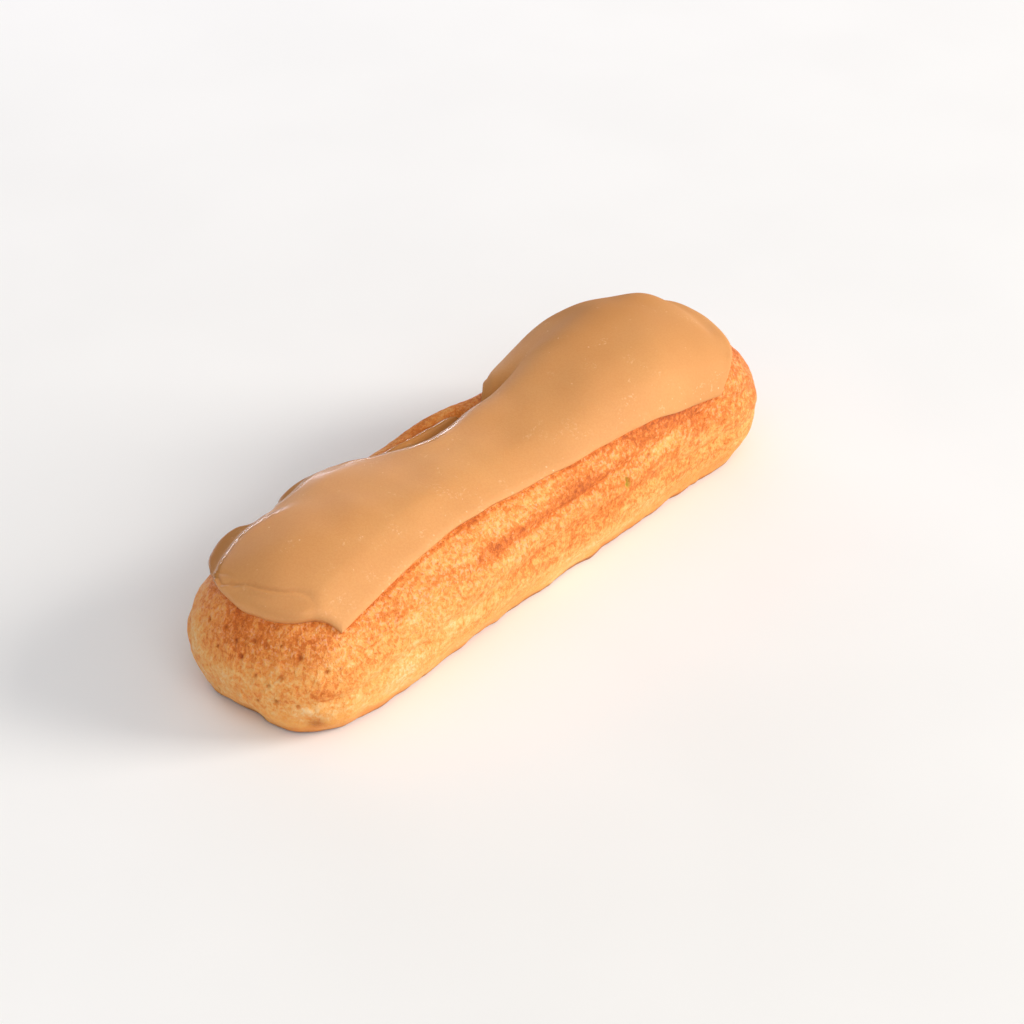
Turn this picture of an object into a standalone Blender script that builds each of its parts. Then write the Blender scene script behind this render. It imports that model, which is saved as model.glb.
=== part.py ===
"""A coffee-glazed eclair: one baked choux loaf and the icing poured over its top.

Metres, +Z up. The loaf lies along X with its base on Z = 0. -Y is its front, where the icing stops high up,
and +Y its back, where the icing runs down in tongues. Angles go round a cross-section in degrees: 0 is the
back, 90 the top, 180 the front and 270 the base.
"""

import bmesh
import bpy
import numpy as np
from mathutils import Matrix, Vector, noise

MM = 0.001

# Driving dimensions of the loaf
LENGTH = 143.5 * MM
TIP = LENGTH / 2

# Along the loaf, as (x, value) knots in millimetres
FRONT_REACH = ((-72, 19.5), (-50, 20.5), (-10, 20.2), (40, 21.0), (72, 22.0))
BACK_REACH = ((-72, 20.5), (-58, 19.5), (-44, 19.0), (-30, 20.5), (-5, 18.0), (14, 16.2), (36, 19.2), (72, 18.0))
TOP_HEIGHT = ((-72, 24.5), (-50, 28.0), (-28, 28.5), (-8, 27.5), (42, 33.5), (72, 26.0))
CORE_HEIGHT = ((-72, 9.8), (-50, 12.5), (40, 13.5), (72, 11.0))

# The rounded ends, as (length, bluntness) for the near end and the far one: their front and back corners as
# seen from above, and their crown as seen from the side
FRONT_ENDS = ((16 * MM, 2.4), (22 * MM, 2.1))
BACK_ENDS = ((15 * MM, 2.4), (42 * MM, 2.0))
CROWN_ENDS = ((20 * MM, 2.1), (30 * MM, 2.1))

# The cross-section: how square it is above and below its core, and how far the core's lower half would
# reach under the base if the tray didn't cut it off
TOP_SQUARENESS = ((-72, 1.9), (-55, 2.1), (-10, 2.5), (35, 2.5), (72, 2.0))
BASE_SQUARENESS = 2.6
BASE_REACH = 1.35

# Ridges left by the piping nozzle: (angle, width in degrees, depth of the groove in millimetres)
GROOVES = ((163, 5.0, 0.7), (187, 5.0, 0.6), (17, 5.0, 0.7), (-8, 5.0, 0.6))

# The crease that the crust folded along, behind the crest: (x, depth) in millimetres
CREASE_ANGLE, CREASE_WIDTH = 57, 10.5
CREASE_DEPTH = ((-71, 0.0), (-50, 0.8), (-20, 1.6), (0, 2.6), (20, 2.2), (45, 0.4), (71, 0.0))

# Lumps of crust that burst outwards: (x in millimetres, angle, length in millimetres, width in degrees,
# height in millimetres)
LUMPS = ((-53, 38, 5, 14, 1.4), (-35, 38, 6, 14, 1.6), (-3, 40, 13, 14, 2.0), (40, 40, 20, 18, 1.5))

# Unevenness of the crust: (size of a bump, height), in millimetres
BUMPS = ((26, 0.9), (9, 0.35))

# The icing's four edges, as (x in millimetres, angle) knots. They share their end knots
NEAR_EDGE = ((-62.5, 48), (-65.4, 68), (-65.9, 91), (-65.2, 106), (-63.0, 119), (-60.6, 124), (-58.2, 141))
FAR_EDGE = ((55, 26), (60.5, 50), (62.5, 80), (61.5, 110), (57, 130), (51.5, 144), (47, 155))
FRONT_EDGE = (
    (-58.2, 141), (-53.2, 139), (-38, 133), (-15, 131), (-3, 134), (11, 140), (25, 146), (39, 153), (47, 155)
)
BACK_EDGE = (
    (-62.5, 48), (-57, 32), (-51, 28), (-46, 46), (-41, 30), (-34, 27), (-27, 44), (-18, 60), (-12, 54),
    (-2, 52), (4, 64), (8, 56), (12, 34), (32, 26), (55, 26)
)
EDGE_SCALE = 0.35

# The icing's thickness in millimetres: over the loaf, at its very edge, and how wide its rounded rim is. GAP
# is what is left between it and the crust
THICKNESS, EDGE_THICKNESS, RIM = 1.7, 0.35, 2.6
RIM_BEAD = 0.25
GAP = 0.3 * MM
# How much of the crust's crease the icing's underside and its top follow
CREASE_UNDER, CREASE_OVER = 0.55, 0.8

# Meshes: rings along the loaf and faces round it, then the icing's columns and rows
RINGS, ROUND = 92, 46
COLUMNS, ROWS = 76, 20
CROWDING = 0.75


def smooth(places, values, at):
    """The smooth curve through values at places, at the given places."""
    slopes = np.gradient(values, places)
    at = np.clip(at, places[0], places[-1])
    i = np.clip(np.searchsorted(places, at) - 1, 0, len(places) - 2)
    gap = places[i + 1] - places[i]
    s = (at - places[i]) / gap
    start = values[i] * (1 + 2 * s) * (1 - s) ** 2 + slopes[i] * gap * s * (1 - s) ** 2
    end = values[i + 1] * (3 - 2 * s) * s**2 - slopes[i + 1] * gap * s**2 * (1 - s)
    return start + end


def along(knots, x):
    """The value at x metres, in metres, from knots in millimetres."""
    places, values = np.array(knots, float).T * MM
    return smooth(places, values, x)


def taper(x, ends):
    """The share of the full cross-section that is left at x: 1 in the middle and 0 at each tip."""
    share = 1.0
    for inward, (cap, blunt) in zip((TIP + x, TIP - x), ends):
        missing = np.clip(1 - inward / cap, 0, 1)
        share = share * (1 - missing**blunt) ** (1 / blunt)
    return share


def bell(distance, width):
    return np.exp(-((distance / width) ** 2))


def turn(angle, target):
    """Degrees from target to angle, the short way round."""
    return (angle - target + 180) % 360 - 180


def features(x, angle, crease):
    """How far the piped ridges, the crease and the lumps push the crust out, in metres."""
    push = 0.0
    for centre, width, depth in GROOVES:
        push = push - depth * MM * bell(turn(angle, centre), width)
    push = push - crease * along(CREASE_DEPTH, x) * bell(turn(angle, CREASE_ANGLE), CREASE_WIDTH)
    for centre, at, length, width, height in LUMPS:
        push = push + height * MM * bell(x - centre * MM, length * MM) * bell(turn(angle, at), width)
    return push


def unevenness(x, y, z):
    """How far the baked crust stands out at a point, in metres."""
    return sum(noise.noise(Vector((x, y, z)) / (size * MM)) * height * MM for size, height in BUMPS)


def crust(x, angle, crease=1.0):
    """Points of the crust at x and angle, with so much of its crease."""
    c, s = np.cos(np.radians(angle)), np.sin(np.radians(angle))
    square = np.where(s > 0, along(TOP_SQUARENESS, x) / MM, BASE_SQUARENESS)
    radius = (np.abs(c) ** square + np.abs(s) ** square) ** (-1 / square)
    core = along(CORE_HEIGHT, x)
    rise = np.where(s > 0, along(TOP_HEIGHT, x) - core, core * BASE_REACH)
    push = features(x, angle, crease)
    reach = np.where(c < 0, along(FRONT_REACH, x), along(BACK_REACH, x))
    across = np.where(c < 0, taper(x, FRONT_ENDS), taper(x, BACK_ENDS))
    height = np.where(s > 0, taper(x, CROWN_ENDS), taper(x, FRONT_ENDS))
    y = across * c * (radius * reach + push)
    z = core + height * s * (radius * rise + push)
    bumps = np.vectorize(unevenness)(x, y, z)
    return np.stack([x, y + bumps * c, z + bumps * s], axis=-1)


def stations(count):
    """Places along X, evenly spaced over the loaf's outline as seen from above."""
    fine = -TIP * np.cos(np.linspace(0, np.pi, 4001))
    edge = along(FRONT_REACH, fine) * taper(fine, FRONT_ENDS)
    run = np.concatenate([[0], np.cumsum(np.hypot(np.diff(fine), np.diff(edge)))])
    return np.interp(np.linspace(0, run[-1], count), run, fine)


def icing_edge(knots, shares):
    """(x in metres, angle) at the given shares of an edge's length."""
    x, angle = np.array(knots, float).T
    run = np.concatenate([[0], np.cumsum(np.hypot(np.diff(x), np.diff(angle) * EDGE_SCALE))])
    return np.stack([smooth(run, x, shares * run[-1]) * MM, smooth(run, angle, shares * run[-1])], axis=-1)


def icing_net(columns, rows):
    """(x, angle) over the icing, columns from the near end and rows from the back, crowded at its edges."""
    u, v = [(1 - CROWDING) * t + CROWDING * t * t * (3 - 2 * t) for t in (columns, rows)]
    near, far = icing_edge(NEAR_EDGE, v), icing_edge(FAR_EDGE, v)
    back, front = icing_edge(BACK_EDGE, u), icing_edge(FRONT_EDGE, u)
    u, v = u[:, None, None], v[None, :, None]
    between_ends = (1 - u) * near[None] + u * far[None]
    between_sides = (1 - v) * back[:, None] + v * front[:, None]
    corners = (1 - u) * ((1 - v) * near[0] + v * near[-1]) + u * ((1 - v) * far[0] + v * far[-1])
    return between_ends + between_sides - corners


def outward(points):
    """Unit normals of a net of points, away from the loaf."""
    normals = np.cross(np.gradient(points, axis=1), np.gradient(points, axis=0))
    return normals / np.linalg.norm(normals, axis=-1, keepdims=True)


def edge_distance(points):
    """How far each point of a net is from the net's nearest edge, in metres."""
    nearest = np.full(points.shape[:2], np.inf)
    for axis in (0, 1):
        steps = np.linalg.norm(np.diff(points, axis=axis), axis=-1)
        run = np.concatenate([np.zeros_like(np.take(steps, [0], axis)), np.cumsum(steps, axis)], axis)
        nearest = np.minimum(nearest, np.minimum(run, np.take(run, [-1], axis) - run))
    return nearest


def icing_layers(columns, rows):
    """The icing's underside and its top, as two nets of points."""
    x, angle = np.moveaxis(icing_net(np.linspace(0, 1, columns + 1), np.linspace(0, 1, rows + 1)), -1, 0)
    seat = crust(x, angle, CREASE_UNDER)
    under = seat + outward(seat) * GAP
    inward = edge_distance(seat) / MM
    rounded = np.sqrt(1 - np.clip(1 - inward / RIM, 0, 1) ** 2)
    thick = EDGE_THICKNESS + (THICKNESS - EDGE_THICKNESS) * rounded
    thick = thick + RIM_BEAD * bell(inward - RIM * 1.2, RIM * 0.7)
    over = crust(x, angle, CREASE_OVER)
    top = over + outward(over) * (GAP + thick * MM)[..., None]
    return under, top


def clear_scene():
    for obj in list(bpy.data.objects):
        bpy.data.objects.remove(obj, do_unlink=True)


def material(name, colour, roughness):
    made = bpy.data.materials.new(name)
    made.use_nodes = True
    shader = made.node_tree.nodes["Principled BSDF"]
    shader.inputs["Base Color"].default_value = (*colour, 1)
    shader.inputs["Roughness"].default_value = roughness
    return made


def add_object(name, bm, collection, look):
    mesh = bpy.data.meshes.new(name)
    bm.to_mesh(mesh)
    bm.free()
    mesh.materials.append(look)
    mesh.shade_smooth()
    obj = bpy.data.objects.new(name, mesh)
    collection.objects.link(obj)
    return obj


def loaf_mesh():
    """The loaf: a sphere's rings spread along X, then cut flat where it lay on the tray."""
    bm = bmesh.new()
    bmesh.ops.create_uvsphere(bm, u_segments=ROUND, v_segments=RINGS, radius=1)
    sphere = np.array([v.co for v in bm.verts])
    ring = np.round(np.degrees(np.arccos(np.clip(-sphere[:, 2], -1, 1))) / 180 * RINGS).astype(int)
    angle = np.degrees(np.arctan2(sphere[:, 1], sphere[:, 0]))
    for v, point in zip(bm.verts, crust(stations(RINGS + 1)[ring], angle)):
        v.co = point
    everything = bm.verts[:] + bm.edges[:] + bm.faces[:]
    cut = bmesh.ops.bisect_plane(
        bm, geom=everything, plane_co=(0, 0, 0), plane_no=(0, 0, -1), clear_outer=True
    )
    rim = [e for e in cut["geom_cut"] if isinstance(e, bmesh.types.BMEdge)]
    bmesh.ops.contextual_create(bm, geom=rim)
    bmesh.ops.recalc_face_normals(bm, faces=bm.faces)
    return bm


def icing_mesh():
    """The icing: a flat grid made two layers thick, then laid over the loaf."""
    bm = bmesh.new()
    bmesh.ops.create_grid(bm, x_segments=COLUMNS, y_segments=ROWS, size=0.5)
    raised = bmesh.ops.extrude_face_region(bm, geom=bm.faces[:], use_keep_orig=True)
    bmesh.ops.translate(
        bm, vec=(0, 0, 1), verts=[v for v in raised["geom"] if isinstance(v, bmesh.types.BMVert)]
    )
    bmesh.ops.recalc_face_normals(bm, faces=bm.faces)
    layers = icing_layers(COLUMNS, ROWS)
    for v in bm.verts:
        column, row = round((v.co.x + 0.5) * COLUMNS), round((0.5 - v.co.y) * ROWS)
        v.co = layers[round(v.co.z)][column, row]
    return bm


def centre(objects):
    """Moves the meshes together so that their common box is centred over the origin."""
    points = np.array([v.co for obj in objects for v in obj.data.vertices])
    middle = (points.min(axis=0) + points.max(axis=0)) / 2
    for obj in objects:
        obj.data.transform(Matrix.Translation((-middle[0], -middle[1], 0)))


def main():
    clear_scene()
    eclair = bpy.data.collections.new("eclair")
    bpy.context.scene.collection.children.link(eclair)
    baked = material("choux_crust", (0.72, 0.36, 0.11), 0.6)
    coffee = material("coffee_icing", (0.66, 0.33, 0.13), 0.25)
    loaf = add_object("choux", loaf_mesh(), eclair, baked)
    icing = add_object("icing", icing_mesh(), eclair, coffee)
    centre([loaf, icing])


main()
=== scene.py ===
"""The looks of a coffee-glazed eclair: its baked choux loaf and the icing poured over its top.

Metres, +Z up, in the row frame. The loaf lies along X, -Y is its front and +Y its back. The forms follow the
same rules as the solids, with the finer relief that a baked crust and poured icing have. Angles go round a
cross-section in degrees: 0 is the back, 90 the top, 180 the front and 270 the base.
"""

import math

import bmesh
import bpy
import numpy as np
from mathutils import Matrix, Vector, noise


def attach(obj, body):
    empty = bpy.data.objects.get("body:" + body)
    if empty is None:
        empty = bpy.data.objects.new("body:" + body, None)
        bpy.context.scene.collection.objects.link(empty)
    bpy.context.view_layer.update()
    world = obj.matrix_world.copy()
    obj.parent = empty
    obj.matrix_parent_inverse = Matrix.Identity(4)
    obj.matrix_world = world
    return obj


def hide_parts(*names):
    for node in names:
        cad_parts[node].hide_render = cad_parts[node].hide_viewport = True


MM = 0.001

# Driving dimensions, as in the solids
LENGTH = 143.5 * MM
TIP = LENGTH / 2

# Along the loaf, as (x, value) knots in millimetres
FRONT_REACH = ((-72, 19.5), (-50, 20.5), (-10, 20.2), (40, 21.0), (72, 22.0))
BACK_REACH = (
    (-72, 20.5), (-58, 19.5), (-44, 19.0), (-30, 20.5), (-5, 18.0), (14, 16.2), (36, 19.2), (72, 18.0)
)
TOP_HEIGHT = ((-72, 24.5), (-50, 28.0), (-28, 28.5), (-8, 27.5), (42, 33.5), (72, 26.0))
CORE_HEIGHT = ((-72, 9.8), (-50, 12.5), (40, 13.5), (72, 11.0))

# The rounded ends, as (length, bluntness) for the near end and the far one
FRONT_ENDS = ((16 * MM, 2.4), (22 * MM, 2.1))
BACK_ENDS = ((15 * MM, 2.4), (42 * MM, 2.0))
CROWN_ENDS = ((20 * MM, 2.1), (30 * MM, 2.1))

# The cross-section: how square it is above and below its core, and how far its lower half would reach
TOP_SQUARENESS = ((-72, 1.9), (-55, 2.1), (-10, 2.5), (35, 2.5), (72, 2.0))
BASE_SQUARENESS = 2.6
BASE_REACH = 1.35

# Ridges left by the piping nozzle: (angle, width in degrees, depth of the groove in millimetres)
GROOVES = ((163, 5.0, 0.7), (187, 5.0, 0.6), (17, 5.0, 0.7), (-8, 5.0, 0.6))

# The crease behind the crest: (x, depth) in millimetres
CREASE_ANGLE, CREASE_WIDTH = 57, 10.5
CREASE_DEPTH = ((-71, 0.0), (-50, 0.8), (-20, 1.6), (0, 2.6), (20, 2.2), (45, 0.4), (71, 0.0))

# Lumps of crust: (x in millimetres, angle, length in millimetres, width in degrees, height in millimetres)
LUMPS = ((-53, 38, 5, 14, 1.4), (-35, 38, 6, 14, 1.6), (-3, 40, 13, 14, 2.0), (40, 40, 20, 18, 1.5))

# Unevenness of the crust, as (size of a bump, height) in millimetres: what the solid has, and what is finer
BUMPS = ((26, 0.9), (9, 0.35))
FINE_BUMPS = ((4.0, 0.20), (1.9, 0.11), (1.0, 0.05))
# The crust creeps out where it met the tray, as (height up the side, how far) in millimetres
FOOT = (2.2, 0.7)
# The foot is ragged, as (size, sway) in millimetres: its share along the sides, how far in from the near
# tip it is wilder, and the heights over which it fades
RAGGED, RAGGED_SHARE, RAGGED_TIP, RAGGED_FADES = (5.5, 1.1), 0.35, 14, (2, 7)
# The browned lines that waver along both sides, as (x in millimetres, angle), and their width in degrees
STREAKS = (
    ((-62, 168), (-51, 163), (-40, 157), (-20, 154), (-2, 161), (24, 166), (45, 161), (66, 165)),
    ((-62, 14), (-40, 20), (-15, 13), (20, 19), (45, 14), (66, 18)),
)
STREAK_WIDTH, STREAK_DEPTH = 4.5, 0.28
# How far from the tips they begin, and where they are whole
STREAK_ENDS = (2 * MM, 12 * MM)

# Where the crust is paler or browner: (x in millimetres, angle, length, width in degrees, how much paler)
TONES = (
    (-42, 162, 12, 6, 0.13), (-6, 157, 22, 6, -0.18), (26, 147, 24, 8, -0.12), (-48, 198, 20, 9, 0.05),
    (0, 177, 70, 9, -0.08), (6, 193, 32, 12, -0.13), (29, 165, 8, 5, 0.13), (-63, 180, 8, 10, -0.09),
    (-70, 24, 6, 20, 0.06), (-28, 171, 14, 5, 0.05)
)

# The tips brown more: how far in that reaches, in millimetres
BROWN_TIP = 9
# The near tip: the least share, what is added, the heights it grows over in millimetres, its angle and
# spread
NEAR_BROWN = (0.1, 1.6, (9, 17), 92, 40)
# The far tip: its share and the heights it grows over. Then the far half: its share and where along x it
# grows
FAR_TIP_BROWN, FAR_HALF_BROWN = (1.2, (8, 16)), (0.8, (5, 50))
# Painted shade, a browner crust in the valley behind the icing, as (x, length in millimetres, angle, width)
VALLEY_SHADE = (-4, 16, 44, 16)

# Small craters in the crust at the near end, and blisters, as (x in millimetres, angle)
CRATERS = (
    (-68.7, 75), (-68.4, 104), (-65.3, 109), (-68.4, 55), (-67.8, 113), (-70.6, 64), (-70.5, 100),
    (-70.8, 132), (-70.4, 154), (-69.0, 146), (-68.1, 189), (-63.3, 158), (-70.1, 187), (-66.5, 122),
    (-69.5, 88)
)
BLISTERS = (
    (-69.3, 102), (-70.1, 119), (-68.7, 133), (-67.0, 125), (-70.5, 108), (-70.4, 82), (-69.9, 95),
    (-70.9, 145), (-69.4, 126), (-67.6, 92)
)
# Others lie here and there, as (how many craters, how many blisters), and the seed that places them
SCATTERED, SEED = (34, 26), 3
# Their smallest and largest radius and how far they sink in, in millimetres
CRATER_SIZE = (0.38, 0.62, 0.34)
BLISTER_SIZE = (0.8, 1.3, -0.24)
# The form of a mark, in radii: the width of its middle, where its rim lies, that one's width and its share
# of the height. Then the widths of their colours
MARK_WIDTH, MARK_RIM, MARK_RIM_WIDTH, MARK_RIM_SHARE = 0.75, 1.5, 0.4, 0.35
MARK_TINT, RIM_TINT = 0.8, 0.45
# A crater's rim is as pale as this share of a blister
HALO_SHARE = 0.7
# A scorched corner at the base, as (x, angle), and its radius in millimetres
SCORCH, SCORCH_RADIUS = (-65.6, 210), 1.5

# The split in the front that shows the crumb: (x, angle), length up the side, width and depth in
# millimetres
SPLIT_AT = (17.3, 176)
SPLIT_SIZE = (3.4, 1.1, 0.9)
# How it leans and widens upwards, for each millimetre, its ragged edge as (size in millimetres, share), and
# the share of its half width where it begins and ends
SPLIT_LEAN, SPLIT_WIDENING, SPLIT_RAGGED, SPLIT_EDGE = 0.25, 0.12, (0.9, 0.35), (0.7, 1.15)
# How far behind its middle it can reach, in millimetres, so that it shows on the front alone
SPLIT_BEHIND = 5

# The icing's four edges, as (x in millimetres, angle) knots. They share their end knots
NEAR_EDGE = ((-62.5, 48), (-65.4, 68), (-65.9, 91), (-65.2, 106), (-62.8, 118), (-60.4, 124), (-58.2, 141))
FAR_EDGE = ((54.5, 30), (58.5, 39), (61, 55), (62.5, 80), (61.5, 110), (57, 130), (51.5, 144), (47, 155))
FRONT_EDGE = (
    (-58.2, 141), (-53.2, 139), (-38, 133), (-15, 131), (-3, 134), (11, 140), (25, 146), (39, 153), (47, 155)
)
BACK_EDGE = (
    (-62.5, 48), (-58, 34), (-52.5, 31), (-49.3, 45), (-46, 43), (-43, 38), (-40, 31), (-34.5, 29),
    (-31, 41), (-27, 44), (-20, 51), (-13, 51), (-6, 49.5), (-1, 50), (2.5, 61), (6, 53), (9.5, 47),
    (14, 37), (21, 29), (34, 26), (46, 25.5), (54.5, 30)
)
# A degree counts as this many millimetres along an edge
EDGE_SCALE = 0.35
# A painted shadow makes the crust browner just below the icing's front edge: how many degrees below, the
# width and how much browner, and between which places along x in millimetres
SHADOW_UNDER_EDGE, SHADOW_UNDER_ENDS = (1.3, 1.2, 0.16), (-57, 47)

# The icing's thickness in millimetres, its edge's, and the width of its rounded rim
THICKNESS, EDGE_THICKNESS, RIM = 1.7, 0.3, 1.5
# A bead stands behind the rim: its height in millimetres, then its place and width as shares of the rim's
# width
RIM_BEAD, RIM_BEAD_AT, RIM_BEAD_WIDTH = 0.18, 1.2, 0.7
# No hollow leaves the icing thinner than this, in millimetres
THINNEST = 0.4
# It thins towards its front edge: the share that is left there, and how far in it is whole, in millimetres
FRONT_SHARE, FRONT_THINNING = 0.5, 9
# How far the icing strays from these lines, as (size of a wave and sway along x in millimetres, sway in
# degrees)
WANDER = (7, 0.45, 0.9)
# The gap that the solids keep between the crust and the icing
GAP = 0.3 * MM
# The share of the crust's crease that the icing's underside follows, and the share that shows in its top,
# along x in millimetres: both lobes fill it
CREASE_OVER = 0.8
CREASE_LEFT = ((-72, 0.2), (-24, 0.2), (-16, 0.8), (14, 0.8), (27, 0.35), (72, 0.3))
# How deep the icing's edge sits in the crust, so that no light passes under it
SUNK = 0.25 * MM

# The fold where the icing turned over the near end, as (angle, x in millimetres)
FOLD_LINE = (
    (40, -62.5), (56, -63.4), (68, -63.8), (83, -62.5), (90, -62.1), (100, -60.8), (107, -59.2),
    (113, -58.5), (118, -58.8), (123, -60.2), (130, -63.0)
)
# It wavers round an angle: the size and sway of its waves in millimetres, the angle and its spread
FOLD_WAVER = (2.6, 0.7, 66, 14)
# Where the waves are read: millimetres for a degree, and the share of x
WAVER_READ = (0.45, 0.5)
# It is crisp below the first angle and soft above the second
FOLD_SOFTENS = (100, 121)
# The step down to the lip: its height, half its length, and the length that softness adds below and above
# it
FOLD_STEP = (0.14, 0.4, 1.5, 0.5)
# The groove along it: its depth, its width, the width that softness adds and the share of depth that is
# left
FOLD_CUT = (0.34, 0.30, 0.9, 0.35)
# The ridge below the groove: its height, how far below it lies, and its width
FOLD_RIDGE = (0.22, 0.7, 0.40)
# A short second groove: its depth, how far above the first it lies, its width, its angle and that one's
# spread
SECOND_CUT = (0.204, 1.2, 0.25, 63, 8)

# The crest along the icing's back, as (x in millimetres, angle)
CREST = (
    (-66, 62), (-60, 56), (-56, 54), (-50, 53), (-47, 49.5), (-44, 46), (-38, 48), (-33, 47.5), (-29, 49),
    (-25.5, 52), (-22.5, 58), (-19.5, 63), (-16.5, 70), (-12.5, 75), (-7, 74), (-1.6, 71), (4, 67), (10, 65),
    (18, 66), (22, 70), (25, 77), (30, 86)
)
# Its height in millimetres, and how many degrees its front, its back and its rounded top spread
CREST_RIDGE, CREST_FRONT, CREST_BACK, CREST_ROUND = 0.38, 7.0, 2.2, 2.0
# The dip behind it: how many degrees behind, its width and its depth in millimetres
CREST_DIP = (9, 6.5, 0.6)
# Where along x, in millimetres, the crest dies away, and where the dip does
CREST_ENDS, DIP_ENDS = (0, 11), (11, 23)
# A second, short crest in front of the first: its (x, angle) knots, then its middle, half its length and
# its height in millimetres, and how many degrees it spreads
SPUR = ((-60, 57), (-50, 57), (-46, 58.5), (-42, 61))
SPUR_MIDDLE, SPUR_LENGTH, SPUR_HEIGHT, SPUR_SPREAD = -48, 3.2, 0.24, 3.0
# The raised rim of the icing's back edge, as (distance from it, width, height) in millimetres
BACK_RIM = (1.1, 0.9, 0.40)
# The share of that rim along x in millimetres: it stands on the three tongues alone
RIM_SHARE = (
    (-72, 0.0), (-61, 0.2), (-57, 1.0), (-53, 1.0), (-50, 0.0), (-44, 0.0), (-41, 1.0), (-34, 1.0),
    (-30, 0.0), (-19, 0.0), (-13, 0.8), (1, 0.8), (5, 0.0), (72, 0.0)
)
# The bead along the far edge and the crease beside it, as (distance from the edge, width, height) in
# millimetres
FAR_BEADS = ((2.6, 1.7, 0.32), (6.0, 1.8, -0.25))
# The angles over which they begin, and over which they end
BEADS_BEGIN, BEADS_END = (35, 65), (112, 135)
# Swells and hollows in the icing: (x in millimetres, angle, length, width in degrees, height in
# millimetres)
SWELLS = ((35.5, 53, 7, 12, -1.0), (53, 69, 6, 14, 1.1), (57.5, 110, 4, 13, -0.7), (-47.5, 43, 3, 8, -0.7))
# Slow waves in the icing's surface, as (size, height) in millimetres
WAVES = ((15, 0.15), (7, 0.05))

# What the icing's material reads. Distances from an edge and places along x are in millimetres, the rest is
# in degrees or a share
# Glossy, and painted with shade in the colour: how wide the two crests shine, where along x they stop, and
# the rim's (distance, width, last x)
CREST_SHINE, SPUR_SHINE, SHINE_ENDS, RIM_SHINE = 2.4, 2.2, (4, 14), (1.1, 0.7, 4)
# Glossy and painted with shade too: the icing's shoulder, as (x, length, degrees in front of the crest,
# width, share)
SHOULDER_SHINE = (-31, 6, 5, 4, 0.75)
# Matt: where along x it begins, and the crease of the far lobe, as (x, length, width)
MATT_FROM, MATT_CREASE = (-62, -50), (22, 14, 10)
# Painted shade, a browner colour behind the crest: how far behind the crest it begins, and where along x it
# stops
SHADE_BEHIND, SHADE_ENDS = (1.5, 6), (6, 20)
# Painted shade on the far lobe's back as well: where along x that begins, its share, the angles where it
# fades and by how much
FAR_SHADE, FAR_SHARE, FAR_FADES, FAR_FADE = (14, 42), 0.72, (75, 115), 0.6
# The width of the strip with more specks, along the front edge
SPECKED = 6

# Meshes: rings along the loaf and faces round it, the icing's columns and rows, and how much these crowd at
# its edges
RINGS, ROUND = 400, 236
COLUMNS, ROWS = 280, 165
CROWDING = 0.75
# How many places the loaf's outline is measured at, to space the rings
FINE_STATIONS = 8001

# The camera, fitted to the photograph
CAMERA_AZIMUTH, CAMERA_ELEVATION = -48.76, 36.0
CAMERA_DISTANCE = 469.3 * MM
CAMERA_TARGET = Vector((-5.57, -9.6, 16.0)) * MM
CAMERA_LENS = 85

# Half the floor's width in metres
FLOOR_SIZE = 12
# The sky: its colour, where it is brightest, as (azimuth, elevation), and its strength, which goes from the
# third number to the fourth as the cosine of the angle to the brightest place goes from the first to the
# second
WORLD_COLOUR = (1.0, 0.99, 0.98, 1)
WORLD_BRIGHTEST = (-20, 40)
WORLD_RANGE = (-0.42, 0.8, 0.01, 0.73)
# The lights, as (name, azimuth, elevation, distance and size in metres, power in watts, colour). The
# strip's reflection is the pale line along the icing's crest
LIGHTS = (
    ("key", 44, 23, 2.5, (0.95, 0.95), 54, (1.0, 0.95, 0.88)),
    ("top", -150, 60, 1.0, (0.9, 0.6), 0.4, (0.95, 0.95, 1.0)),
    ("fill", -25, 42, 1.0, (0.6, 0.6), 2.0, (1.0, 0.98, 0.95)),
    ("strip", 150, 11, 0.9, (0.9, 0.03), 3.2, (0.88, 0.88, 1.0)),
)


def smooth(places, values, at):
    """The smooth curve through values at places, at the given places."""
    slopes = np.gradient(values, places)
    at = np.clip(at, places[0], places[-1])
    i = np.clip(np.searchsorted(places, at) - 1, 0, len(places) - 2)
    gap = places[i + 1] - places[i]
    s = (at - places[i]) / gap
    start = values[i] * (1 + 2 * s) * (1 - s) ** 2 + slopes[i] * gap * s * (1 - s) ** 2
    end = values[i + 1] * (3 - 2 * s) * s**2 - slopes[i + 1] * gap * s**2 * (1 - s)
    return start + end


def curve(knots, at):
    """The smooth curve through (place, value) knots, at the given places."""
    return smooth(*np.array(knots, float).T, at)


def along(knots, x):
    """The value at x metres, in metres, from knots in millimetres."""
    places, values = np.array(knots, float).T * MM
    return smooth(places, values, x)


def taper(x, ends):
    """The share of the full cross-section that is left at x: 1 in the middle and 0 at each tip."""
    share = 1.0
    for inward, (cap, blunt) in zip((TIP + x, TIP - x), ends):
        missing = np.clip(1 - inward / cap, 0, 1)
        share = share * (1 - missing**blunt) ** (1 / blunt)
    return share


def bell(distance, width):
    """1 at distance 0, and smoothly down to about a third at the width."""
    return np.exp(-((distance / width) ** 2))


def ease(value, low, high):
    """0 below low and 1 above high, with a smooth turn between them."""
    t = np.clip((value - low) / (high - low), 0, 1)
    return t * t * (3 - 2 * t)


def turn(angle, target):
    """Degrees from target to angle, the short way round."""
    return (angle - target + 180) % 360 - 180


def features(x, angle, crease):
    """How far the piped ridges, the crease and the lumps push the crust out, in metres."""
    push = 0.0
    for centre, width, depth in GROOVES:
        push = push - depth * MM * bell(turn(angle, centre), width)
    push = push - crease * along(CREASE_DEPTH, x) * bell(turn(angle, CREASE_ANGLE), CREASE_WIDTH)
    for centre, at, length, width, height in LUMPS:
        push = push + height * MM * bell(x - centre * MM, length * MM) * bell(turn(angle, at), width)
    return push


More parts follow.
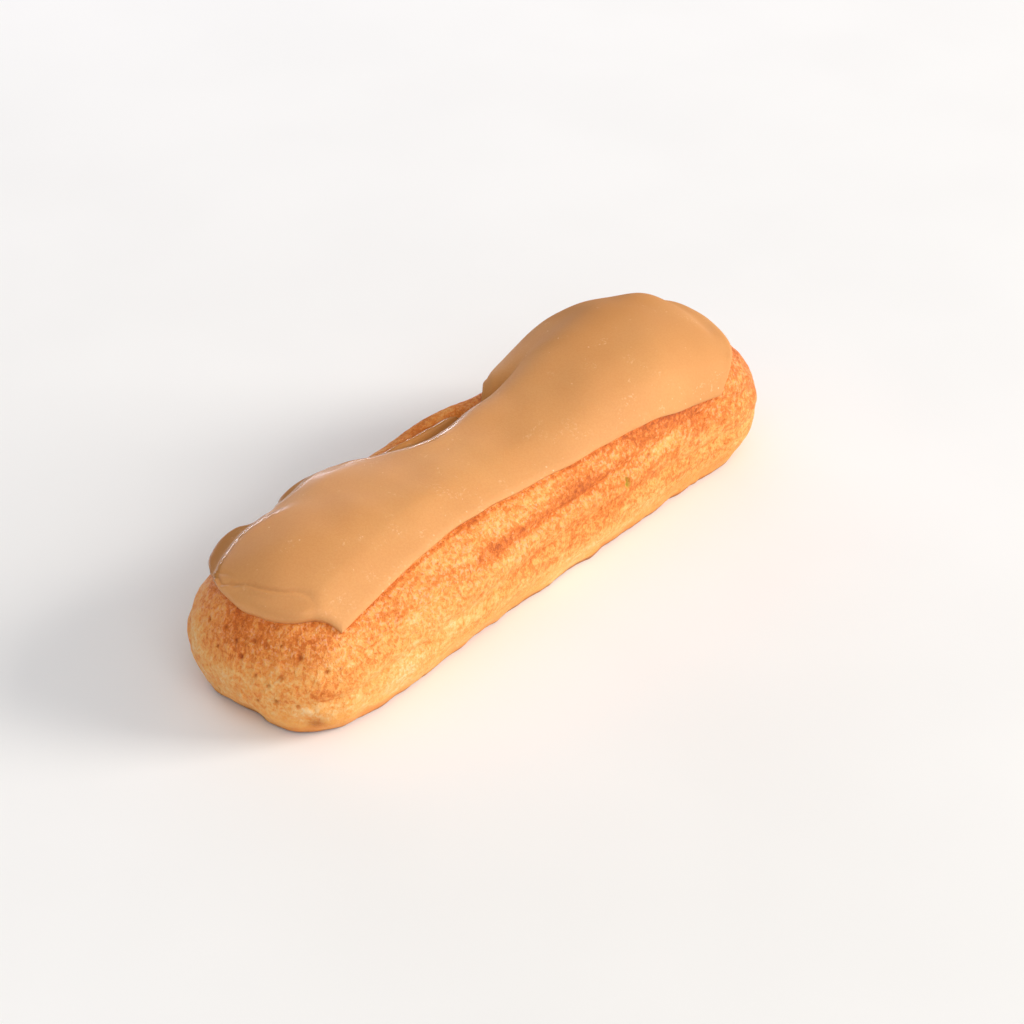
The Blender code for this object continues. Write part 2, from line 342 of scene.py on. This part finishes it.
def rough(points, bumps):
    """The sum of the noise of all bumps, (size, height) in millimetres, at each point, in metres."""
    flat = points.reshape(-1, 3)
    total = np.zeros(len(flat))
    for size, height in bumps:
        scaled = flat / (size * MM)
        total += height * MM * np.array([noise.noise(Vector(p)) for p in scaled])
    return total.reshape(points.shape[:-1])


def crust(x, angle, crease=1.0):
    """Points of the crust at x and angle, with so much of its crease."""
    c, s = np.cos(np.radians(angle)), np.sin(np.radians(angle))
    square = np.where(s > 0, curve(TOP_SQUARENESS, x / MM), BASE_SQUARENESS)
    radius = (np.abs(c) ** square + np.abs(s) ** square) ** (-1 / square)
    core = along(CORE_HEIGHT, x)
    rise = np.where(s > 0, along(TOP_HEIGHT, x) - core, core * BASE_REACH)
    push = features(x, angle, crease)
    reach = np.where(c < 0, along(FRONT_REACH, x), along(BACK_REACH, x))
    across = np.where(c < 0, taper(x, FRONT_ENDS), taper(x, BACK_ENDS))
    height = np.where(s > 0, taper(x, CROWN_ENDS), taper(x, FRONT_ENDS))
    y = across * c * (radius * reach + push)
    z = core + height * s * (radius * rise + push)
    bumps = rough(np.stack([x, y, z], axis=-1), BUMPS)
    return np.stack([x, y + bumps * c, z + bumps * s], axis=-1)


def stations(count):
    """Places along X, evenly spaced over the loaf's outline as seen from above."""
    fine = -TIP * np.cos(np.linspace(0, np.pi, FINE_STATIONS))
    edge = along(FRONT_REACH, fine) * taper(fine, FRONT_ENDS)
    run = np.concatenate([[0], np.cumsum(np.hypot(np.diff(fine), np.diff(edge)))])
    return np.interp(np.linspace(0, run[-1], count), run, fine)


def icing_edge(knots, shares):
    """(x in metres, angle) at the given shares of an edge's length."""
    x, angle = np.array(knots, float).T
    run = np.concatenate([[0], np.cumsum(np.hypot(np.diff(x), np.diff(angle) * EDGE_SCALE))])
    return np.stack([smooth(run, x, shares * run[-1]) * MM, smooth(run, angle, shares * run[-1])], axis=-1)


def icing_net(columns, rows):
    """(x, angle) over the icing, columns from the near end and rows from the back, crowded at its edges."""
    u, v = [(1 - CROWDING) * t + CROWDING * t * t * (3 - 2 * t) for t in (columns, rows)]
    near, far = icing_edge(NEAR_EDGE, v), icing_edge(FAR_EDGE, v)
    back, front = icing_edge(BACK_EDGE, u), icing_edge(FRONT_EDGE, u)
    u, v = u[:, None, None], v[None, :, None]
    between_ends = (1 - u) * near[None] + u * far[None]
    between_sides = (1 - v) * back[:, None] + v * front[:, None]
    corners = (1 - u) * ((1 - v) * near[0] + v * near[-1]) + u * ((1 - v) * far[0] + v * far[-1])
    return between_ends + between_sides - corners


def outward(points):
    """Unit normals of a net of points, away from the loaf."""
    normals = np.cross(np.gradient(points, axis=1), np.gradient(points, axis=0))
    return normals / np.linalg.norm(normals, axis=-1, keepdims=True)


def run_from_edges(points, axis):
    """Millimetres from a net's first line of points and from its last, along one axis."""
    steps = np.linalg.norm(np.diff(points, axis=axis), axis=-1) / MM
    run = np.concatenate([np.zeros_like(np.take(steps, [0], axis)), np.cumsum(steps, axis)], axis)
    return run, np.take(run, [-1], axis) - run


def fold_relief(x, angle):
    """The step, grooves and ridge where the icing turned over the near end, in millimetres."""
    size, sway, middle, spread = FOLD_WAVER
    around, lengthways = WAVER_READ
    wrinkle = rough(np.stack([x * 0, angle * around * MM, x * lengthways], axis=-1), ((size, 1.0),)) / MM
    place = x / MM - curve(FOLD_LINE, angle) + wrinkle * bell(angle - middle, spread) * sway
    crisp = 1 - ease(angle, *FOLD_SOFTENS)
    soft = 1 - crisp

    height, half, below, above = FOLD_STEP
    relief = -height * (1 - ease(place, -half - below * soft, half + above * soft))
    depth, width, widening, left = FOLD_CUT
    relief = relief - depth * bell(place, width + widening * soft) * (left + (1 - left) * crisp)
    height, below, width = FOLD_RIDGE
    relief = relief + height * bell(place + below, width) * crisp
    depth, above, width, middle, spread = SECOND_CUT
    return relief - depth * bell(place - above - wrinkle, width) * bell(angle - middle, spread)


def crest_relief(x, angle, from_back):
    """The crest and the dip behind it, the short crest and the rim of the back edge, in millimetres."""
    behind = curve(CREST, x / MM) - angle
    fallen = np.hypot(behind, CREST_ROUND) - CREST_ROUND
    ridge = np.exp(-fallen / np.where(behind < 0, CREST_FRONT, CREST_BACK))
    relief = CREST_RIDGE * ridge * (1 - ease(x / MM, *CREST_ENDS))
    at, width, depth = CREST_DIP
    relief = relief - depth * bell(behind - at, width) * (1 - ease(x / MM, *DIP_ENDS))
    distance, width, height = BACK_RIM
    relief = relief + height * bell(from_back - distance, width) * curve(RIM_SHARE, x / MM)
    fallen = np.hypot(curve(SPUR, x / MM) - angle, CREST_ROUND) - CREST_ROUND
    return relief + SPUR_HEIGHT * np.exp(-fallen / SPUR_SPREAD) * bell(x / MM - SPUR_MIDDLE, SPUR_LENGTH)


def lobe_relief(x, angle, from_far):
    """The swells and hollows, and the bead and the crease along the far edge, in millimetres."""
    relief = 0.0
    for centre, at, length, width, height in SWELLS:
        relief = relief + height * bell(x / MM - centre, length) * bell(angle - at, width)
    around = ease(angle, *BEADS_BEGIN) * (1 - ease(angle, *BEADS_END))
    for distance, width, height in FAR_BEADS:
        relief = relief + height * bell(from_far - distance, width) * around
    return relief


def icing_values(x, angle, from_front, from_back):
    """What the icing's material reads at each point: specked, glossy, matt, and painted shade along and
    behind the crest.
    """
    behind, beside = curve(CREST, x / MM) - angle, curve(SPUR, x / MM) - angle
    # Glossy places, whose colour also carries painted shade
    gloss_and_shade = bell(behind, CREST_SHINE) * (1 - ease(x / MM, *SHINE_ENDS))
    distance, width, last = RIM_SHINE
    gloss_and_shade = gloss_and_shade + bell(from_back - distance, width) * (x < last * MM)
    gloss_and_shade = gloss_and_shade + bell(beside, SPUR_SHINE) * bell(x / MM - SPUR_MIDDLE, SPUR_LENGTH)
    centre, length, ahead, width, share = SHOULDER_SHINE
    gloss_and_shade = gloss_and_shade + share * bell(behind + ahead, width) * bell(x / MM - centre, length)

    centre, length, width = MATT_CREASE
    matte = ease(x / MM, *MATT_FROM) + bell(behind, width) * bell(x / MM - centre, length)
    # Painted shade behind the crest and on the far lobe's back, which also makes the icing rougher there
    painted_shade = ease(behind, *SHADE_BEHIND) * (1 - ease(x / MM, *SHADE_ENDS))
    painted_shade = painted_shade + FAR_SHARE * ease(x / MM, *FAR_SHADE) * (1 - FAR_FADE * ease(angle, *FAR_FADES))
    return {"front": bell(from_front, SPECKED), "gloss_and_shade": np.minimum(gloss_and_shade, 1), "matte": matte, "painted_shade": painted_shade}


def icing_layers(columns, rows):
    """The icing's underside and its top, as two nets of points, and what its material reads at each."""
    x, angle = np.moveaxis(icing_net(np.linspace(0, 1, columns + 1), np.linspace(0, 1, rows + 1)), -1, 0)
    size, sway, swing = WANDER
    flat = np.stack([x, angle * EDGE_SCALE * MM, x * 0], axis=-1)
    x = x + rough(flat, ((size, sway),))
    angle = angle + rough(flat[..., ::-1], ((size, swing),)) / MM

    seat = crust(x, angle, CREASE_OVER)
    (from_near, from_far), (from_back, from_front) = run_from_edges(seat, 0), run_from_edges(seat, 1)
    inward = np.minimum.reduce([from_near, from_far, from_back, from_front])
    rounded = np.sqrt(1 - np.clip(1 - inward / RIM, 0, 1) ** 2)
    whole = ease(from_front, 0, FRONT_THINNING)
    top = THICKNESS * (FRONT_SHARE + (1 - FRONT_SHARE) * whole)
    top = top + RIM_BEAD * whole * bell(inward - RIM * RIM_BEAD_AT, RIM * RIM_BEAD_WIDTH)
    top = top + fold_relief(x, angle) + crest_relief(x, angle, from_back) + lobe_relief(x, angle, from_far)
    top = top + rough(seat, WAVES) / MM
    thick = EDGE_THICKNESS + (np.maximum(top, THINNEST) - EDGE_THICKNESS) * rounded
    under = seat - outward(seat) * SUNK
    bed = crust(x, angle, curve(CREASE_LEFT, x / MM))
    over = bed + outward(bed) * (GAP + thick * MM)[..., None]
    return (under, over), icing_values(x, angle, from_front, from_back)


def marks(points, places, count, size, random):
    """How deep round marks cut each point, in millimetres, how near it is to a middle, and to a rim."""
    smallest, largest, depth = size
    centres = [crust(np.array([x * MM]), np.array([float(angle)]))[0] for x, angle in places]
    centres += list(points[random.choice(len(points), count, replace=False)])
    cut, middle, rim = np.zeros((3, len(points)))
    for centre in centres:
        radius = random.uniform(smallest, largest)
        away = np.linalg.norm(points - centre, axis=1) / MM / radius
        raised = MARK_RIM_SHARE * bell(away - MARK_RIM, MARK_RIM_WIDTH)
        cut = cut + depth * radius / largest * (bell(away, MARK_WIDTH) - raised)
        middle = np.maximum(middle, bell(away, MARK_TINT))
        rim = np.maximum(rim, bell(away - MARK_RIM, RIM_TINT))
    return cut, middle, rim


def split_share(points):
    """How far inside the split in the crust each point is, from 0 to 1."""
    x, angle = SPLIT_AT
    middle = crust(np.array([x * MM]), np.array([float(angle)]))[0]
    length, width, _ = SPLIT_SIZE
    off = (points - middle) / MM
    size, share = SPLIT_RAGGED
    ragged = rough(points, ((size, 1.0),)) / MM * share
    slant = off[:, 0] + SPLIT_LEAN * off[:, 2]
    wide = width / 2 * (1 - SPLIT_WIDENING * off[:, 2])
    grown = np.hypot(slant / wide, off[:, 2] / (length / 2)) + ragged
    return (1 - ease(grown, *SPLIT_EDGE)) * (off[:, 1] < SPLIT_BEHIND)


def browning(points, angle):
    """What the crust's material reads: browned ends, toned places, and painted shade below the icing and in
    the valley.
    """
    x, z = points[:, 0] / MM, points[:, 2] / MM
    least, more, heights, middle, spread = NEAR_BROWN
    end = bell(x + TIP / MM, BROWN_TIP) * (least + more * ease(z, *heights) * bell(angle - middle, spread))
    share, heights = FAR_TIP_BROWN
    end = end + share * bell(x - TIP / MM, BROWN_TIP) * ease(z, *heights)
    share, places = FAR_HALF_BROWN
    end = end + share * ease(x, *places)

    tone = 0.0
    for centre, at, length, width, amount in TONES:
        tone = tone + amount * bell(x - centre, length) * bell(turn(angle, at), width)
    # Painted shadow: the crust is browner just below the icing's front edge
    below, width, amount = SHADOW_UNDER_EDGE
    under = turn(angle, curve(FRONT_EDGE, x) + below)
    first, last = SHADOW_UNDER_ENDS
    tone = tone - amount * bell(under, width) * (x > first) * (x < last)
    # Painted shade in the valley behind the icing
    centre, length, at, width = VALLEY_SHADE
    return {"end": end, "valley_shade": bell(turn(angle, at), width) * bell(x - centre, length), "tone": tone}


def foot_reach(points):
    """How far the crust creeps out where it met the tray, at each point, in millimetres."""
    z = points[:, 2] / MM
    height, spread = FOOT
    wilder = RAGGED_SHARE + bell(points[:, 0] + TIP, RAGGED_TIP * MM)
    ragged = rough(points * (1, 1, 0), (RAGGED,)) / MM * wilder
    return spread * (1 - ease(z, 0, height)) + ragged * (1 - ease(z, *RAGGED_FADES))


def cut_flat(bm):
    """Cuts the mesh off at the ground, closes it there and smooths all but the base."""
    everything = bm.verts[:] + bm.edges[:] + bm.faces[:]
    trimmed = bmesh.ops.bisect_plane(
        bm, geom=everything, plane_co=(0, 0, 0), plane_no=(0, 0, -1), clear_outer=True
    )
    rim = [e for e in trimmed["geom_cut"] if isinstance(e, bmesh.types.BMEdge)]
    base = bmesh.ops.contextual_create(bm, geom=rim)
    bmesh.ops.recalc_face_normals(bm, faces=bm.faces)
    for face in bm.faces:
        face.smooth = True
    for face in base["faces"]:
        face.smooth = False


def loaf_mesh():
    """The crust: the solid's form, its fine relief along the normals, and what its material reads."""
    bm = bmesh.new()
    bmesh.ops.create_uvsphere(bm, u_segments=ROUND, v_segments=RINGS, radius=1)
    sphere = np.array([v.co for v in bm.verts])
    ring = np.round(np.degrees(np.arccos(np.clip(-sphere[:, 2], -1, 1))) / 180 * RINGS).astype(int)
    angle = np.degrees(np.arctan2(sphere[:, 1], sphere[:, 0]))
    points = crust(stations(RINGS + 1)[ring], angle)
    for v, point in zip(bm.verts, points):
        v.co = point
    bm.normal_update()
    normals = np.array([v.normal for v in bm.verts])

    random = np.random.default_rng(SEED)
    pit_cut, pit, halo = marks(points, CRATERS, SCATTERED[0], CRATER_SIZE, random)
    blister_cut, blister, _ = marks(points, BLISTERS, SCATTERED[1], BLISTER_SIZE, random)
    scorch = crust(np.array([SCORCH[0] * MM]), np.array([float(SCORCH[1])]))[0]
    scorched = bell(np.linalg.norm(points - scorch, axis=1), SCORCH_RADIUS * MM)
    split = split_share(points)
    beside = [turn(angle, curve(knots, points[:, 0] / MM)) for knots in STREAKS]
    inland = ease(TIP - np.abs(points[:, 0]), *STREAK_ENDS)
    furrow = sum(bell(away, STREAK_WIDTH) for away in beside) * inland
    streak = sum(bell(away, STREAK_WIDTH * 2) for away in beside) * inland
    cut = pit_cut + blister_cut + SPLIT_SIZE[2] * split + STREAK_DEPTH * furrow
    lift = rough(points, FINE_BUMPS) - cut * MM
    foot = foot_reach(points)

    values = {
        "pit": np.maximum(pit, scorched), "blister": np.maximum(blister, halo * HALO_SHARE), "split": split,
        "streak": streak, **browning(points, angle)
    }
    layers = {name: bm.verts.layers.float.new(name) for name in values}
    for i, v in enumerate(bm.verts):
        sideways = Vector((normals[i][0], normals[i][1], 0)).normalized()
        v.co = Vector(points[i] + normals[i] * lift[i]) + sideways * foot[i] * MM
        for name, layer in layers.items():
            v[layer] = values[name][i]
    cut_flat(bm)
    return bm


def icing_mesh():
    """The icing: a flat grid made two layers thick, then laid over the loaf."""
    bm = bmesh.new()
    bmesh.ops.create_grid(bm, x_segments=COLUMNS, y_segments=ROWS, size=0.5)
    raised = bmesh.ops.extrude_face_region(bm, geom=bm.faces[:], use_keep_orig=True)
    bmesh.ops.translate(
        bm, vec=(0, 0, 1), verts=[v for v in raised["geom"] if isinstance(v, bmesh.types.BMVert)]
    )
    bmesh.ops.recalc_face_normals(bm, faces=bm.faces)
    layers, values = icing_layers(COLUMNS, ROWS)
    kept = {name: bm.verts.layers.float.new(name) for name in values}
    for v in bm.verts:
        column, row = round((v.co.x + 0.5) * COLUMNS), round((0.5 - v.co.y) * ROWS)
        v.co = layers[round(v.co.z)][column, row]
        for name, layer in kept.items():
            v[layer] = values[name][column, row]
    for face in bm.faces:
        face.smooth = True
    return bm


def add_piece(name, bm, look):
    mesh = bpy.data.meshes.new(name)
    bm.to_mesh(mesh)
    bm.free()
    mesh.materials.append(look)
    piece = bpy.data.objects.new(name, mesh)
    bpy.context.scene.collection.objects.link(piece)
    return piece


def srgb(red, green, blue):
    """A colour named by its 0 to 255 screen values, as Blender's linear numbers."""
    shares = [value / 255 for value in (red, green, blue)]
    return tuple(s / 12.92 if s <= 0.04045 else ((s + 0.055) / 1.055) ** 2.4 for s in shares)


class Look:
    """A material being made, with short ways to add and wire its nodes."""

    def __init__(self, name):
        self.material = bpy.data.materials.new(name)
        self.material.use_nodes = True
        self.tree = self.material.node_tree
        self.shader = self.tree.nodes["Principled BSDF"]
        self.place = self.node("ShaderNodeTexCoord").outputs["Object"]

    def node(self, kind, **settings):
        made = self.tree.nodes.new(kind)
        for name, value in settings.items():
            setattr(made, name, value)
        return made

    def feed(self, socket, value):
        """Wires value into a socket, or sets it there if it is a number or a colour."""
        if isinstance(value, bpy.types.NodeSocket):
            self.tree.links.new(value, socket)
        elif isinstance(value, tuple) and len(value) == 3 and socket.type == "RGBA":
            socket.default_value = (*value, 1)
        else:
            socket.default_value = value

    def noise(self, size, detail=2.0, roughness=0.5, distortion=0.0, place=None):
        """Noise with spots of about size millimetres."""
        made = self.node("ShaderNodeTexNoise")
        self.feed(made.inputs["Vector"], place or self.place)
        self.feed(made.inputs["Scale"], 1 / (size * MM))
        self.feed(made.inputs["Detail"], detail)
        self.feed(made.inputs["Roughness"], roughness)
        self.feed(made.inputs["Distortion"], distortion)
        return made.outputs["Fac"]

    def cells(self, size):
        """The distance to the middle of the nearest cell, where a cell is size millimetres wide."""
        made = self.node("ShaderNodeTexVoronoi")
        self.feed(made.inputs["Vector"], self.place)
        self.feed(made.inputs["Scale"], 1 / (size * MM))
        return made.outputs["Distance"]

    def stretched(self, factors):
        """The object's coordinates, scaled along each axis."""
        made = self.node("ShaderNodeMapping")
        self.feed(made.inputs["Vector"], self.place)
        made.inputs["Scale"].default_value = factors
        return made.outputs["Vector"]

    def read(self, name):
        """A value kept on the mesh's points."""
        return self.node("ShaderNodeAttribute", attribute_name=name).outputs["Fac"]

    def step(self, value, low, high, start=0.0, end=1.0):
        """start where value is below low and end where it is above high, smooth between them."""
        made = self.node("ShaderNodeMapRange", interpolation_type="SMOOTHSTEP")
        names = ("Value", "From Min", "From Max", "To Min", "To Max")
        for name, number in zip(names, (value, low, high, start, end)):
            self.feed(made.inputs[name], number)
        return made.outputs["Result"]

    def ramp(self, value, stops):
        """The colour at value on a ramp of (place, colour) stops."""
        made = self.node("ShaderNodeValToRGB")
        self.feed(made.inputs["Fac"], value)
        elements = made.color_ramp.elements
        for place, _ in stops[len(elements):]:
            elements.new(place)
        for element, (place, colour) in zip(elements, stops):
            element.position = place
            element.color = (*srgb(*colour), 1)
        return made.outputs["Color"]

    def maths(self, operation, *values):
        made = self.node("ShaderNodeMath", operation=operation)
        for socket, value in zip(made.inputs, values):
            self.feed(socket, value)
        return made.outputs["Value"]

    def times(self, *values):
        total = values[0]
        for value in values[1:]:
            total = self.maths("MULTIPLY", total, value)
        return total

    def plus(self, *values):
        total = values[0]
        for value in values[1:]:
            total = self.maths("ADD", total, value)
        return total

    def swing(self, value, amount):
        """How far value lies from one half, times amount."""
        return self.times(self.plus(value, -0.5), amount)

    def mix(self, share, first, second, blend="MIX"):
        made = self.node("ShaderNodeMix", data_type="RGBA", blend_type=blend)
        self.feed(made.inputs[0], share)
        self.feed(made.inputs[6], first)
        self.feed(made.inputs[7], second)
        return made.outputs[2]

    def bump(self, height, depth):
        """Bumps the shading by height, where 1 stands for depth millimetres."""
        made = self.node("ShaderNodeBump")
        self.feed(made.inputs["Height"], height)
        self.feed(made.inputs["Distance"], depth * MM)
        self.tree.links.new(made.outputs["Normal"], self.shader.inputs["Normal"])

    def finish(self, **values):
        """Feeds the shader's own sockets, named in words joined by underscores."""
        for name, value in values.items():
            self.feed(self.shader.inputs[name.replace("_", " ")], value)
        return self.material


# Colours of the crust from the most baked to the palest, each with the value of bake where it stands
BAKED = (
    (0.14, (180, 86, 28)), (0.28, (210, 108, 34)), (0.38, (226, 124, 44)), (0.46, (240, 145, 64)),
    (0.54, (246, 164, 80)), (0.62, (249, 179, 98)), (0.72, (251, 197, 128)), (0.88, (253, 218, 170))
)
# The bake of plain crust, and what the values kept on the mesh add to it: the valley's is painted shade, and
# tone holds a painted shadow below the icing's front edge
PLAIN_BAKE = 0.605
KEPT_BAKE = (("tone", 1.0), ("end", -0.10), ("valley_shade", -0.04), ("blister", 0.06), ("pit", -0.15))
# The crust's other colours: among them pale flecks that are partly painted glints, and the brown of the
# painted shade in the valley
GOLDEN, PALE_FLECK_AND_GLINT, CRUMB = (252, 184, 84), (244, 176, 142), (206, 176, 62)
FOOT_BROWN, BASE_BROWN = (232, 138, 72), (132, 66, 36)
VALLEY_SHADE_BROWN, SCORCHED = (186, 108, 34), (142, 66, 22)
# Heights in metres over which it turns browner above, loses the paler low zone, the brown foot and the dark
# base
UPPER, LOW = (13.0 * MM, 19.0 * MM), (2.0 * MM, 8.0 * MM)
BROWN_FOOT, DARK_BASE = (-2.0 * MM, 4.0 * MM), (0.3 * MM, 1.4 * MM)
# How far the heights of the upper and low zones waver
ZONE_WAVER = 9 * MM


def crust_look():
    """Baked choux: golden and orange in a fine mottle, browner above and at both ends, pale low down."""
    look = Look("baked_crust")
    patch = look.noise(5.0, detail=3, roughness=0.6, place=look.stretched((0.35, 1.0, 1.0)))
    mottle = look.noise(1.2, detail=6, roughness=0.70, distortion=0.6, place=look.stretched((0.5, 1.0, 1.0)))
    grain = look.noise(0.45, detail=4, roughness=0.72, distortion=0.4, place=look.stretched((1.0, 1.0, 0.8)))
    fleck = look.noise(0.50, detail=3, roughness=0.7, distortion=0.3, place=look.stretched((1.1, 1.0, 0.8)))
    dab = look.noise(0.95, detail=3, roughness=0.6, distortion=0.3, place=look.stretched((1.0, 1.0, 0.85)))
    dab = look.step(dab, 0.43, 0.57)
    axes = look.node("ShaderNodeSeparateXYZ")
    look.feed(axes.inputs[0], look.place)
    height = axes.outputs["Z"]
    wavering = look.plus(height, look.swing(patch, ZONE_WAVER))
    upper, low = look.step(wavering, *UPPER), look.step(wavering, *LOW, 1.0, 0.0)
    valley_shade, pit = look.read("valley_shade"), look.read("pit")

    bake = look.plus(
        PLAIN_BAKE,
        look.swing(mottle, look.plus(0.45, look.times(low, -0.2))),
        look.swing(grain, look.plus(0.50, look.times(low, -0.2))),
        look.swing(dab, look.plus(0.12, look.times(low, -0.08))),
        look.swing(patch, 0.55),
        look.times(upper, -0.11),
        look.times(look.read("streak"), look.step(patch, 0.35, 0.6, 1.0, 0.45), -0.05),
        *(look.times(look.read(name), amount) for name, amount in KEPT_BAKE),
    )
    colour = look.mix(look.times(low, 0.4), look.ramp(bake, BAKED), srgb(*GOLDEN))
    bare = look.plus(1.0, look.times(valley_shade, -0.8))
    specks = look.times(look.step(fleck, 0.50, 0.60), look.plus(0.12, look.times(upper, dab, 0.5)), bare)
    specks = look.times(specks, look.step(bake, 0.30, 0.50))
    # Pale pinkish flecks, partly pale crust and partly painted glints of light on its grain
    colour = look.mix(specks, colour, srgb(*PALE_FLECK_AND_GLINT))
    colour = look.mix(look.step(wavering, *BROWN_FOOT, 0.6, 0.0), colour, srgb(*FOOT_BROWN))
    # Painted shade: the valley behind the icing is browner
    colour = look.mix(look.times(valley_shade, 0.45), colour, srgb(*VALLEY_SHADE_BROWN))
    colour = look.mix(look.times(pit, 0.45), colour, srgb(*SCORCHED))
    colour = look.mix(look.step(height, *DARK_BASE, 0.7, 0.0), colour, srgb(*BASE_BROWN))
    colour = look.mix(look.read("split"), colour, srgb(*CRUMB))

    relief = look.plus(look.times(mottle, 0.5), look.times(grain, 0.3))
    look.bump(look.plus(relief, look.times(fleck, 0.3), look.times(dab, 0.12)), 0.6)
    return look.finish(
        Base_Color=colour,
        Roughness=look.plus(look.step(mottle, 0.3, 0.7, 0.62, 0.48), look.times(valley_shade, 0.35)),
        Specular_IOR_Level=0.30,
        Subsurface_Weight=0.10,
        Subsurface_Radius=(1.0, 0.45, 0.2),
        Subsurface_Scale=1.0 * MM,
    )


# The icing's colours, and the brown of its painted shade
COFFEE, DEEP_COFFEE, PALE_SPECK, SHADE_BROWN = (222, 160, 99), (217, 154, 94), (250, 208, 164), (174, 114, 54)
# Its roughness, and what the matt places and those with painted shade add and the glossy ones take away
SATIN, MATT_ROUGHER, SHADE_ROUGHER, GLOSS = 0.42, 0.22, 0.38, 0.94


def icing_look():
    """Coffee fondant: opaque, satin, with a few pale specks, more of them near its front edge, and painted
    shade.
    """
    look = Look("coffee_icing")
    painted_shade, gloss_and_shade = look.read("painted_shade"), look.read("gloss_and_shade")
    near_front = look.times(look.read("front"), 0.10)
    fine = look.noise(0.40, detail=3, roughness=0.6)
    colour = look.mix(look.step(look.noise(18.0, detail=2), 0.35, 0.65), srgb(*DEEP_COFFEE), srgb(*COFFEE))
    colour = look.mix(look.step(fine, 0.35, 0.65, 0.0, 0.10), colour, srgb(*DEEP_COFFEE), "MULTIPLY")
    spot = look.step(look.cells(1.5), 0.08, 0.16, 1.0, 0.0)
    chosen = look.step(look.plus(look.noise(1.7, detail=1), near_front), 0.63, 0.67)
    cluster = look.step(look.plus(look.noise(4.5, detail=1), near_front), 0.60, 0.72)
    dust = look.times(look.step(look.noise(0.60, detail=2, roughness=0.6), 0.56, 0.68), cluster)
    specks = look.plus(look.times(spot, chosen, 0.6), look.times(dust, 0.30))
    # Painted shade: browner behind the crest and over the far lobe's back
    colour = look.mix(look.times(painted_shade, 0.75), colour, srgb(*SHADE_BROWN))
    # Painted shade along the glossy crest, its rims and shoulder, so the highlight there shows pale
    colour = look.mix(look.times(gloss_and_shade, 0.65), colour, srgb(*SHADE_BROWN))
    colour = look.mix(specks, colour, srgb(*PALE_SPECK))
    look.bump(look.plus(look.times(fine, 0.5), specks), 0.05)
    satin = look.plus(SATIN, look.times(look.read("matte"), MATT_ROUGHER), look.times(painted_shade, SHADE_ROUGHER))
    return look.finish(
        Base_Color=colour,
        Roughness=look.times(satin, look.plus(1.0, look.times(gloss_and_shade, -GLOSS))),
        Specular_IOR_Level=0.26,
        Subsurface_Weight=0.12,
        Subsurface_Radius=(1.0, 0.6, 0.3),
        Subsurface_Scale=1.0 * MM,
    )


def direction(azimuth, elevation):
    """The unit vector towards a place seen at that azimuth and elevation, in degrees."""
    a, e = math.radians(azimuth), math.radians(elevation)
    return Vector((math.sin(a) * math.cos(e), -math.cos(a) * math.cos(e), math.sin(e)))


def aim(obj, place, target):
    obj.location = place
    obj.rotation_euler = (target - place).to_track_quat("-Z", "Y").to_euler()


def add_camera():
    data = bpy.data.cameras.new("camera")
    data.lens = CAMERA_LENS
    camera = bpy.data.objects.new("camera", data)
    bpy.context.scene.collection.objects.link(camera)
    way = direction(CAMERA_AZIMUTH, CAMERA_ELEVATION)
    aim(camera, CAMERA_TARGET + way * CAMERA_DISTANCE, CAMERA_TARGET)
    bpy.context.scene.camera = camera


def add_light(name, azimuth, elevation, distance, size, power, colour):
    data = bpy.data.lights.new(name, "AREA")
    data.shape = "RECTANGLE"
    data.size, data.size_y = size
    data.energy = power
    data.color = colour
    light = bpy.data.objects.new(name, data)
    bpy.context.scene.collection.objects.link(light)
    aim(light, direction(azimuth, elevation) * distance, Vector((0, 0, 0)))


def add_floor():
    """A plain pale floor, far wider than any view of the pastry."""
    bm = bmesh.new()
    bmesh.ops.create_grid(bm, x_segments=1, y_segments=1, size=FLOOR_SIZE)
    look = Look("pale_floor")
    tone = look.step(look.noise(60, detail=2), 0.3, 0.7, 0.90, 0.92)
    white = look.node("ShaderNodeCombineColor")
    for socket in white.inputs:
        look.feed(socket, tone)
    floor = add_piece("floor", bm, look.finish(Base_Color=white.outputs[0], Roughness=0.9))


def add_world():
    """A sky that is bright on the camera's side and nearly dark behind the pastry."""
    world = bpy.data.worlds.new("studio")
    bpy.context.scene.world = world
    world.use_nodes = True
    nodes, links = world.node_tree.nodes, world.node_tree.links
    background = nodes["Background"]
    background.inputs["Color"].default_value = WORLD_COLOUR
    facing = nodes.new("ShaderNodeVectorMath")
    facing.operation = "DOT_PRODUCT"
    facing.inputs[1].default_value = direction(*WORLD_BRIGHTEST)
    links.new(nodes.new("ShaderNodeTexCoord").outputs["Generated"], facing.inputs[0])
    strength = nodes.new("ShaderNodeMapRange")
    for name, number in zip(("From Min", "From Max", "To Min", "To Max"), WORLD_RANGE):
        strength.inputs[name].default_value = number
    links.new(facing.outputs["Value"], strength.inputs["Value"])
    links.new(strength.outputs["Result"], background.inputs["Strength"])


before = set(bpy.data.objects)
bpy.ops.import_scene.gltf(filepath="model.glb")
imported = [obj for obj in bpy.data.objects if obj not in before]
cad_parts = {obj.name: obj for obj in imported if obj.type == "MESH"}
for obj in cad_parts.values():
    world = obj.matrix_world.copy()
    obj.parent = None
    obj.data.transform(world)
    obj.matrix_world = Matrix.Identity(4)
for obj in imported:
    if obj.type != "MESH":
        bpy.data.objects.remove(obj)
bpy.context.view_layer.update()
add_camera()
bpy.context.scene.view_settings.view_transform = "Standard"
add_world()
for light in LIGHTS:
    add_light(*light)
add_floor()

loaf = add_piece("loaf_crust", loaf_mesh(), crust_look())
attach(loaf, "root")
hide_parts("choux")

icing = add_piece("poured_icing", icing_mesh(), icing_look())
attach(icing, "root")
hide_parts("icing")
